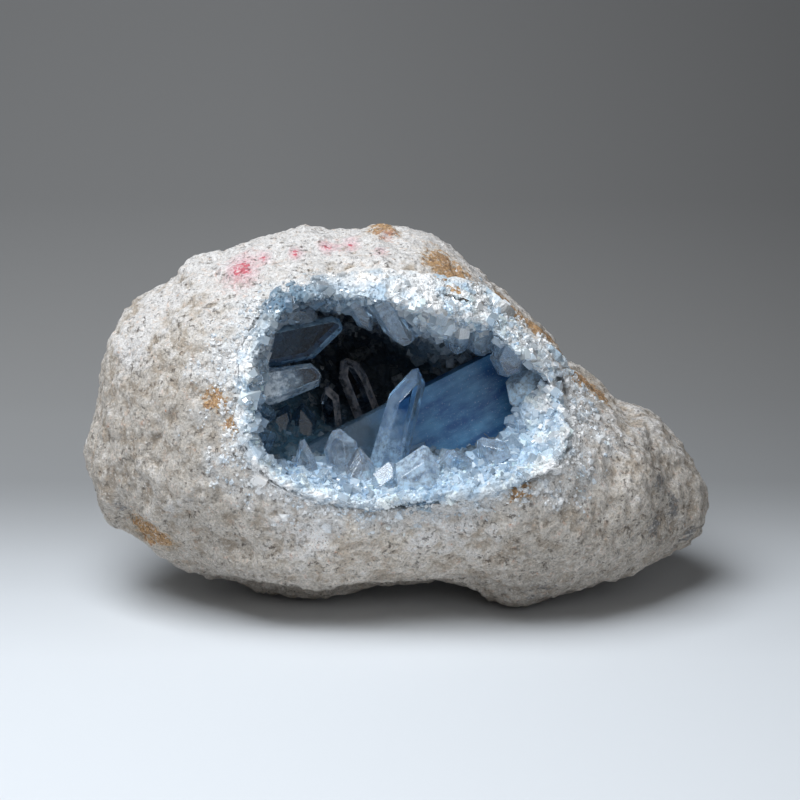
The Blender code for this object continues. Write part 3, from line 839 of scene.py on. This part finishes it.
def make_lining():
    """A closed shell: the crust's side to the hollow, roughened, and its smooth back against the rock."""
    points, zones, front_rings = lining_points()
    faces = lining_faces(len(points) // LINING_SIDES, front_rings)
    mesh = mesh_from("lining", [point * MM for point in points], faces)
    normals = [v.normal.copy() for v in mesh.vertices]
    for index in range(front_rings * LINING_SIDES):
        vertex, point, zone = mesh.vertices[index], points[index], zones[index]
        vertex.co += normals[index] * lining_push(point) * MM * min(1.0, zone * 8)
        for centre, reach, amount in LINING_LUMPS:
            vertex.co += Vector(amount) * near(point, centre, reach) * MM
        vertex.co.y = max(vertex.co.y, BOX_LOW.y)
    # The crust's colour, with painted shade deep in the hollow and painted light high on the rim
    paint(mesh, [crust_tint_and_painted_light(v.co / MM, zone) for v, zone in zip(mesh.vertices, zones)])
    lining = new_object("crust_lining", mesh, "celestite", "crystal_crust")
    mesh.materials.append(druse_stone())
    return lining, zones


# Colour of the crust by its zone, and patches that differ: centre, reach, colour, strength. Deep in the
# hollow the colour falls nearly to black as painted shade, and the broad pale patches high and to the right
# on the rim are painted light.
CRUST_TINTS_AND_PAINTED_SHADE = (
    (0.0, (0.76, 0.73, 0.70)), (0.15, (0.84, 0.85, 0.86)), (0.35, (0.80, 0.87, 0.92)),
    (0.6, (0.58, 0.73, 0.87)), (1.0, (0.26, 0.41, 0.57)), (1.25, (0.08, 0.14, 0.21)),
    (1.6, (0.02, 0.04, 0.06)), (2.5, (0.012, 0.022, 0.035)), (4.0, (0.01, 0.015, 0.02)),
)
CRUST_PATCHES_AND_PAINTED_LIGHT = (
    ((24, 4, 108), 26, (0.15, 0.25, 0.35), 0.9),
    ((-44, -28, 78), 22, (0.13, 0.30, 0.44), 0.95),
    ((10, -76, 62), 40, (0.50, 0.64, 0.77), 0.75),
    ((-45, -58, 140), 25, (0.12, 0.22, 0.31), 0.95),
    ((-40, -50, 128), 14, (0.10, 0.17, 0.25), 0.9),
    ((30, -50, 80), 15, (0.45, 0.62, 0.78), 0.8),
    ((-14, -52, 134), 12, (0.36, 0.47, 0.56), 0.6),
    ((-62, -62, 122), 9, (0.90, 0.92, 0.93), 0.9),
    ((28, -46, 136), 26, (0.88, 0.94, 0.98), 0.95),
    ((60, -48, 108), 18, (0.90, 0.94, 0.98), 0.8),
)


def crust_tint_and_painted_light(point, zone):
    """The crust's colour at a point, from its zone, the patches and its chunk, with painted shade deep in the
    hollow and painted light high on the rim.
    """
    stops = [stop for stop, _ in CRUST_TINTS_AND_PAINTED_SHADE]
    colour = [float(np.interp(zone, stops, [tint_and_painted_light[i] for _, tint_and_painted_light in CRUST_TINTS_AND_PAINTED_SHADE])) for i in range(3)]
    for centre, reach, patch, strength in CRUST_PATCHES_AND_PAINTED_LIGHT:
        share = strength * near(point, centre, reach)
        colour = [c + (p - c) * share for c, p in zip(colour, patch)]
    return chunk_tint(point, colour, 1.0 if zone < 1.3 else 0.5)


def druse_stone():
    """The massive part of the crust, a cloudy crystalline ground."""
    nodes = Nodes("druse_stone")
    grain = nodes.ramp(nodes.noise(1.3, 3, 0.7), 0.3, 0.7, 0.7, 1.25)
    height = nodes.plus(nodes.cells(1.4), nodes.noise(0.8, 3, 0.7))
    nodes.set(
        Base_Color=nodes.shade(nodes.attribute("tint_and_painted_light", "Color"), grain), Normal=nodes.bump(height, 0.7, 0.5),
        Roughness=0.4, IOR=CELESTITE_IOR, Specular_IOR_Level=0.3,
    )
    return nodes.material


# Small crystals that cover the crust: by zone, how many to the square millimetre and their mean length
DRUSE_ZONES = (0.0, 0.3, 0.7, 1.0, 1.6, 3.0, 4.0)
DRUSE_DENSITY = (0.40, 0.42, 0.32, 0.18, 0.08, 0.03, 0.02)
DRUSE_LENGTH = (0.9, 1.2, 1.9, 3.1, 3.6, 3.5, 3.5)
DRUSE_SEED = 7
DRUSE_START = 0.02
DRUSE_LONGEST = 9.0
# Blocky crystals that stand out of the rim: the zones they grow in, how many, and their lengths
CHUNK_SEED = 11
CHUNK_ZONES = (0.2, 1.3)
CHUNK_DENSITY = 0.032
CHUNK_LENGTH = 5.2
CHUNK_LONGEST = 7.5
CHUNK_PALE = (0.66, 0.80, 0.92)
CHUNK_PALENESS = 0.2


def make_druse(lining, zones):
    """Small crystals all over the crust."""
    mesh = lining.data
    rng = np.random.default_rng(DRUSE_SEED)
    field = CrystalField()
    for polygon in mesh.polygons:
        zone = zones[polygon.vertices[0]]
        if zone < DRUSE_START or len(polygon.vertices) > 4 or zones[polygon.vertices[1]] < 0:
            continue
        wanted = polygon.area / MM ** 2 * float(np.interp(zone, DRUSE_ZONES, DRUSE_DENSITY))
        for _ in range(int(rng.poisson(wanted))):
            root = place_on(rng, mesh, polygon)
            length = float(np.interp(zone, DRUSE_ZONES, DRUSE_LENGTH)) * float(rng.lognormal(0.0, 0.5))
            length = min(length, DRUSE_LONGEST)
            width = length * float(rng.uniform(0.45, 0.85))
            axis = leaning(rng, polygon.normal, 0.45)
            light = float(rng.lognormal(0.05, 0.18))
            points = small_crystal(rng, root - axis * 0.35 * length, axis, length * 1.35, width)
            # Each crystal takes the crust's colour there, its painted shade and light included
            if not past_box(points):
                field.add(points, tuple(min(0.95, c * light) for c in crust_tint_and_painted_light(root, zone)))
    field.finish("small_crystals", 0.25, 0.28)


def beside_big(point):
    """Whether a point lies in or just beside a large crystal."""
    for root, tip, width, *_ in BIG_CRYSTALS.values():
        root, tip = Vector(root) + CENTRING, Vector(tip) + CENTRING
        along = tip - root
        share = min(1.0, max(0.0, (point - root).dot(along) / along.length_squared))
        if (point - root - along * share).length < 0.5 * width + 1.0:
            return True
    return False


def make_chunks(lining, zones):
    """Blocky crystals round the mouth, away from the large ones."""
    mesh = lining.data
    rng = np.random.default_rng(CHUNK_SEED)
    field = CrystalField()
    for polygon in mesh.polygons:
        zone = zones[polygon.vertices[0]]
        if not CHUNK_ZONES[0] < zone < CHUNK_ZONES[1] or len(polygon.vertices) > 4:
            continue
        for _ in range(int(rng.poisson(polygon.area / MM ** 2 * CHUNK_DENSITY))):
            root = polygon.center / MM
            if beside_big(root):
                continue
            length = min(CHUNK_LONGEST, CHUNK_LENGTH * float(rng.lognormal(0.0, 0.3)))
            axis = leaning(rng, polygon.normal, 0.55)
            width = length * float(rng.uniform(0.4, 0.75))
            points = small_crystal(rng, root - axis * 0.45 * length, axis, length, width, 0.9)
            if not past_box(points):
                # The crust's colour there, its painted shade and light included
                tint_and_painted_light = crust_tint_and_painted_light(root, zone)
                field.add(points, [c + (p - c) * CHUNK_PALENESS for c, p in zip(tint_and_painted_light, CHUNK_PALE)])
    field.finish("chunk_crystals", 0.55, 0.12)


# Large crystals: root, tip, width, thickness, turn and length of the point, mostly as in the part's source
BIG_CRYSTALS = {
    "centre_blade": ((-5, -56, 64), (7, -46, 111), 18, 12, 12, 16),
    "great_slab": ((-28, -34, 55), (62, -12, 97), 46, 15, -8, 10),
    "twin_blade": ((-9, 0, 68), (-23, 2, 105), 13, 10, 25, 9),
    "dark_blade": ((-27, -8, 70), (-30, -4, 94), 9, 7, -20, 6),
    "upper_left_blade": ((-62, -46, 117), (-22, -34, 123), 17, 8, 8, 9),
    "lower_left_blade": ((-65, -54, 102), (-31, -44, 106), 16, 10, -12, 7),
    "hanging_blade": ((-6, -52, 140), (4, -46, 120), 12, 8, 15, 6),
    "roof_blade_low": ((-58, -44, 128), (-42, -40, 137), 9, 6, 0, 5),
    "roof_blade_high": ((-56, -46, 136), (-33, -38, 130), 10, 7, 20, 5),
    "roof_spike": ((-19, -46, 141), (-10, -40, 125), 8, 6, 0, 5),
    "roof_block": ((25, -38, 130), (28, -32, 114), 13, 9, 10, 6),
    "roof_plate": ((37, -34, 126), (36, -28, 112), 14, 9, -15, 6),
    "shoulder_block": ((51, -40, 121), (45, -38, 105), 15, 10, 0, 6),
    "right_wedge": ((68, -24, 113), (49, -38, 93), 15, 11, 10, 7),
    "right_spur": ((67, -34, 101), (58, -38, 94), 11, 9, -20, 6),
    "right_knob": ((69, -43, 91), (60, -47, 91), 15, 11, 0, 7),
    "right_low_knob": ((68, -50, 81), (58, -54, 82), 13, 9, 15, 6),
    "front_arch": ((44, -66, 73), (37, -60, 84), 13, 8, 0, 6),
    "front_dome": ((28, -70, 60), (24, -66, 80), 15, 10, 0, 7),
    "front_block": ((7, -74, 58), (13, -69, 82), 24, 15, -10, 10),
    "front_wedge": ((-4, -74, 58), (0, -70, 75), 17, 11, 18, 8),
    "left_point": ((-34, -70, 64), (-40, -64, 83), 9, 7, 0, 8),
    "left_block": ((-20, -65, 62), (-24, -59, 87), 15, 10, -15, 7),
    "left_block_low": ((-12, -68, 60), (-18, -62, 79), 14, 10, 15, 7),
    "cave_block": ((-42, -20, 68), (-39, -14, 88), 11, 8, 0, 6),
    "cave_stub": ((-52, -28, 77), (-48, -24, 90), 10, 8, 10, 5),
    "left_knob": ((-64, -58, 92), (-50, -60, 95), 11, 8, 0, 5),
    "left_low_knob": ((-64, -66, 81), (-49, -66, 84), 13, 9, 0, 6),
}
# Outlines of the crystals that show plainly, as seen on the broad face: (across, distance back from the tip),
# and how far each of their edges slopes in to the broad faces
OUTLINES = {
    "centre_blade": (
        ((-8.2, 50), (-6.6, 13.6), (0.4, 1.2), (3.0, 0), (7.8, 6.0), (8.4, 50)),
        (3.6, 4.4, 3.4, 4.4, 4.6),
    ),
    "upper_left_blade": (
        ((-8.5, 43), (-8.5, 4), (-6.5, 0.9), (-3, 0), (-1, 0.6), (8.5, 14.5), (8.5, 43)),
        (1.3, 1.6, 1.8, 1.8, 3.6, 2.5),
    ),
    "lower_left_blade": (
        ((-8, 36), (-6.6, 3.8), (-3.4, 0.9), (-0.5, 0), (3.8, 2.0), (8, 21), (8, 36)),
        (2.0, 1.5, 1.4, 1.6, 2.8, 3.0),
    ),
    "twin_blade": (
        ((-5.5, 40), (-5.7, 6.8), (-2, 0.3), (1.5, 0), (6.1, 4.2), (7.4, 10.9), (7.5, 40)),
        (2.4, 2.2, 2.0, 4.0, 5.0, 5.0),
    ),
    "great_slab": (
        ((-22, 105), (-22, 12), (-6, 0), (9, 1), (23, 20), (23, 105)),
        (1.2, 2.0, 2.0, 3.0, 3.0),
    ),
    "front_block": (
        ((-11, 26), (-11.5, 11), (-1.5, 0), (1, 0.3), (6.5, 6.5), (12, 15), (12, 26)),
        (5.0, 6.5, 3.0, 4.0, 4.5, 4.0),
    ),
    "hanging_blade": (
        ((-5.5, 24), (-5.3, 1.0), (-3, 0), (1.5, 0.3), (3.8, 4), (5.5, 9), (6, 24)),
        (1.0, 1.2, 1.4, 2.6, 3.2, 3.6),
    ),
}
EDGE_BEVEL = 0.22
# How squarely a face looks the way of the crystal's front to count as broad and not as a side
BROAD_FACE = 0.96
CRYSTAL_SEED = 4


def plain_outline(rng, width, length, point):
    """An outline for a crystal that has none of its own: a lopsided point on an even prism."""
    half = width / 2
    tip = half * rng.uniform(-0.35, 0.35)
    flat = half * rng.uniform(0.15, 0.3)
    left, right = (point * rng.uniform(0.7, 1.15) for _ in range(2))
    outline = (
        (-half * 0.94, length), (-half, left), (tip - flat, rng.uniform(0, 0.1) * point),
        (tip + flat, 0), (half, right), (half * 0.94, length),
    )
    insets = tuple(width * rng.uniform(0.12, 0.3) for _ in range(5))
    return outline, insets


def cut_away(bm, place, normal):
    """Takes off what lies outside a plane, and closes the cut."""
    everything = bm.verts[:] + bm.edges[:] + bm.faces[:]
    cut = bmesh.ops.bisect_plane(
        bm, geom=everything, plane_co=place, plane_no=normal, clear_outer=True, dist=1e-4
    )
    edges = [e for e in cut["geom_cut"] if isinstance(e, bmesh.types.BMEdge)]
    if edges:
        bmesh.ops.holes_fill(bm, edges=edges)


def crystal_solid(outline, insets, thickness):
    """A convex crystal round an outline, in millimetres: x across, y to the front and z back from its tip."""
    bm = bmesh.new()
    bmesh.ops.create_cube(bm, size=2.0)
    reach = max(max(abs(u) for u, _ in outline), thickness)
    length = outline[0][1]
    for vertex in bm.verts:
        vertex.co = Vector((vertex.co.x * reach, vertex.co.y * thickness / 2, (vertex.co.z + 1) / 2 * length))
    middle = Vector((0, 0, length / 2))
    for (start, end), inset in zip(zip(outline, outline[1:]), insets):
        edge = Vector((end[0] - start[0], 0, end[1] - start[1])).normalized()
        outward = edge.cross(Vector((0, 1, 0)))
        place = Vector((start[0], 0, start[1]))
        if outward.dot(middle - place) > 0:
            outward = -outward
        for side in (1, -1):
            normal = (outward * thickness / 2 + Vector((0, side * inset, 0))).normalized()
            cut_away(bm, place, normal)
    bmesh.ops.remove_doubles(bm, verts=bm.verts, dist=0.02)
    bmesh.ops.bevel(bm, geom=bm.edges[:], offset=EDGE_BEVEL, segments=1, affect="EDGES", clamp_overlap=True)
    bmesh.ops.recalc_face_normals(bm, faces=bm.faces)
    return bm


def face_outward(mesh):
    bm = bmesh.new()
    bm.from_mesh(mesh)
    bmesh.ops.recalc_face_normals(bm, faces=bm.faces)
    bm.to_mesh(mesh)
    bm.free()


def make_crystal(name, shape, rng):
    """One large crystal. Its mesh keeps where each point lies in it, and which faces are its sides."""
    root, tip, width, thickness, turn, point = shape
    root, tip = Vector(root) + CENTRING, Vector(tip) + CENTRING
    length = (tip - root).length
    axis = (tip - root).normalized()
    facing = Vector((0, -1, 0))
    facing = (facing - axis * facing.dot(axis)).normalized()
    facing = Matrix.Rotation(math.radians(turn), 3, axis) @ facing
    across = axis.cross(facing)
    outline, insets = OUTLINES.get(name) or plain_outline(rng, width, length, point)
    bm = crystal_solid(outline, insets, thickness)
    mesh = bpy.data.meshes.new(name)
    bm.to_mesh(mesh)
    bm.free()
    places = [v.co.copy() for v in mesh.vertices]
    for vertex, own in zip(mesh.vertices, places):
        vertex.co = (tip + across * own.x + facing * own.y - axis * own.z) * MM
    mesh.update()
    store(mesh, "grain", [list(own) for own in places], "FLOAT_VECTOR")
    sides = []
    for polygon in mesh.polygons:
        sides += [0.0 if abs(polygon.normal.dot(facing)) > BROAD_FACE else 1.0] * polygon.loop_total
    store(mesh, "facet", sides, domain="CORNER")
    store(mesh, "rootward", [own.z / length for own in places])
    face_outward(mesh)
    return new_object(name, mesh, "celestite", "crystal_crust")


# How cloudy a crystal is at its tip and its root, and between which shares of its length that changes
PLAIN_CLOUD = (0.1, 0.6, 0.3, 0.9)
SLAB_CLOUD = (0.9, 0.15, 0.58, 0.74)
CLEAR = (0.88, 0.95, 1.0)
CLOUD = (0.36, 0.57, 0.80)
# Painted reflection: how much of the cloudy colour the side faces take, standing in for the bright rim seen
# in them
SIDE_PAINTED_SHEEN = 0.34
ABSORPTION = (0.34, 0.68, 0.92, 1.0)
ABSORPTION_DENSITY = 55.0
# What differs from that: clear and cloudy colour, how strongly the sides take the cloudy colour as a painted
# reflection, and the refraction
# The limpid and smoky looks take a dark clear colour, painted shade for crystals seen against the dark
# hollow; the smoky look's warm cloudy colour, laid on the sides, is a painted reflection of the lit rim
LIMPID_PAINTED_SHADE = {"clear": (0.30, 0.50, 0.70), "cloudy": (0.52, 0.74, 0.93), "painted_side_sheen": 0.7, "ior": 1.33}
MILKY = {"clear": (0.40, 0.60, 0.78), "cloudy": (0.80, 0.88, 0.95), "painted_side_sheen": 0.6, "ior": 1.45}
BLUE = {"clear": (0.62, 0.78, 0.90), "cloudy": (0.34, 0.54, 0.75), "ior": 1.5}
SMOKY_PAINTED_SHADE = {"clear": (0.30, 0.38, 0.48), "cloudy": (0.92, 0.86, 0.86), "painted_side_sheen": 0.8, "ior": 1.4}
SHADED = {"clear": (0.30, 0.46, 0.60), "cloudy": (0.14, 0.26, 0.38), "ior": 1.45}
FROSTED = {"cloudy": (0.60, 0.80, 0.97)}
CRYSTAL_LOOKS = {
    "centre_blade": ((0.0, 0.75, 0.35, 0.9), BLUE), "lower_left_blade": ((0.0, 1.3, 0.3, 0.7), MILKY),
    "upper_left_blade": ((0.0, 0.1, 0.4, 0.9), LIMPID_PAINTED_SHADE), "twin_blade": ((0.0, 0.1, 0.4, 0.9), SMOKY_PAINTED_SHADE),
    "dark_blade": ((0.0, 0.1, 0.4, 0.9), SMOKY_PAINTED_SHADE), "front_block": ((0.6, 0.85, 0.3, 0.9), FROSTED),
    "right_wedge": ((0.95, 0.7, 0.3, 0.9), FROSTED), "right_knob": ((0.8, 0.8, 0.3, 0.9), FROSTED),
    "left_block": ((0.15, 0.5, 0.3, 0.9), {}), "left_block_low": ((0.2, 0.5, 0.3, 0.9), {}),
    "front_wedge": ((0.3, 0.6, 0.3, 0.9), {}), "right_low_knob": ((0.6, 0.7, 0.3, 0.9), {}),
    "right_spur": ((0.4, 0.5, 0.3, 0.9), {}), "cave_block": (PLAIN_CLOUD, SHADED),
    "cave_stub": (PLAIN_CLOUD, SHADED), "left_knob": (PLAIN_CLOUD, SHADED),
    "left_low_knob": (PLAIN_CLOUD, SHADED),
}


def cloudiness(nodes, cloud_range, wave):
    """How cloudy a crystal is from its tip to its root, with an uneven border."""
    tip_cloud, root_cloud, start, end = cloud_range
    return nodes.ramp(nodes.plus(nodes.attribute("rootward"), wave), start, end, tip_cloud, root_cloud)


def clear_crystal(cloud_range, clear=CLEAR, cloudy=CLOUD, painted_side_sheen=SIDE_PAINTED_SHEEN, ior=CELESTITE_IOR):
    """See-through celestite, cloudy towards its root, with a painted sheen on its sides: a painted reflection
    that makes them paler than the broad faces.
    """
    nodes = Nodes("clear_crystal")
    cloud = cloudiness(nodes, cloud_range, nodes.swing(nodes.noise(5.0, 3, 0.6), 0.6))
    flaws = nodes.ramp(nodes.noise(2.6, 4, 0.7, shift=2.0), 0.38, 0.62, 0.35, 1.3)
    cloud = nodes.math("MINIMUM", nodes.times(cloud, flaws), 1.0)
    patchy = nodes.ramp(nodes.noise(4.5, 3, 0.6, shift=6.0), 0.36, 0.62, 0.35, 1.0)
    # Painted reflection on the side faces
    painted_sheen = nodes.times(nodes.attribute("facet"), nodes.times(patchy, painted_side_sheen))
    cloud = nodes.math("MAXIMUM", cloud, painted_sheen)
    nodes.set(
        Base_Color=nodes.mix(cloud, clear, cloudy), Roughness=0.03, IOR=ior,
        Transmission_Weight=nodes.math("SUBTRACT", 1.0, nodes.times(cloud, 0.8)),
        Normal=nodes.bump(nodes.noise(3.0, 2), 0.1, 0.2),
    )
    absorb = nodes.add("ShaderNodeVolumeAbsorption")
    absorb.inputs["Color"].default_value = ABSORPTION
    absorb.inputs["Density"].default_value = ABSORPTION_DENSITY
    nodes.link(absorb.outputs["Volume"], nodes.output.inputs["Volume"])
    return nodes.material


def dusty_crystal():
    """The great slab: deep blue, clear at its root, and dulled by streaks and specks of pale dust."""
    nodes = Nodes("dusty_crystal")
    own = nodes.attribute("grain", "Vector")
    streaks = nodes.noise(7, 4, 0.65, stretch=(1.0, 1.0, 0.3), place=own)
    mist = nodes.noise(16, 3, 0.6, shift=4.0, place=own)
    pale_cover = nodes.plus(nodes.times(streaks, 0.6), nodes.times(mist, 0.4))
    colour = nodes.cover((0.0, 0.08, 0.28), (0.10, 0.32, 0.58), pale_cover, 0.42, 0.60, 1.0)
    specks = nodes.noise(0.7, 3, 0.7, shift=1.0, place=own)
    colour = nodes.cover(colour, (0.62, 0.76, 0.88), specks, 0.62, 0.68, 0.55)
    cloud = cloudiness(nodes, SLAB_CLOUD, nodes.swing(mist, 0.3))
    nodes.set(
        Base_Color=nodes.mix(cloud, (0.42, 0.66, 0.88), colour), Roughness=0.25, IOR=1.5,
        Specular_IOR_Level=0.3, Transmission_Weight=nodes.math("SUBTRACT", 1.0, cloud),
        Normal=nodes.bump(streaks, 0.3, 0.3),
    )
    return nodes.material


def make_big_crystals():
    """The large crystals. Those with no look of their own share one material."""
    rng = random.Random(CRYSTAL_SEED)
    plain = clear_crystal(PLAIN_CLOUD)
    for name, shape in BIG_CRYSTALS.items():
        crystal = make_crystal(name, shape, rng)
        material = plain
        if name == "great_slab":
            material = dusty_crystal()
        elif name in CRYSTAL_LOOKS:
            cloud_range, look = CRYSTAL_LOOKS[name]
            material = clear_crystal(cloud_range, **look)
        crystal.data.materials.append(material)


make_camera()
make_floor()
make_lights()
SKIN = make_skin()
make_grains(make_rock())
crust_lining, crust_zones = make_lining()
make_druse(crust_lining, crust_zones)
make_chunks(crust_lining, crust_zones)
make_big_crystals()
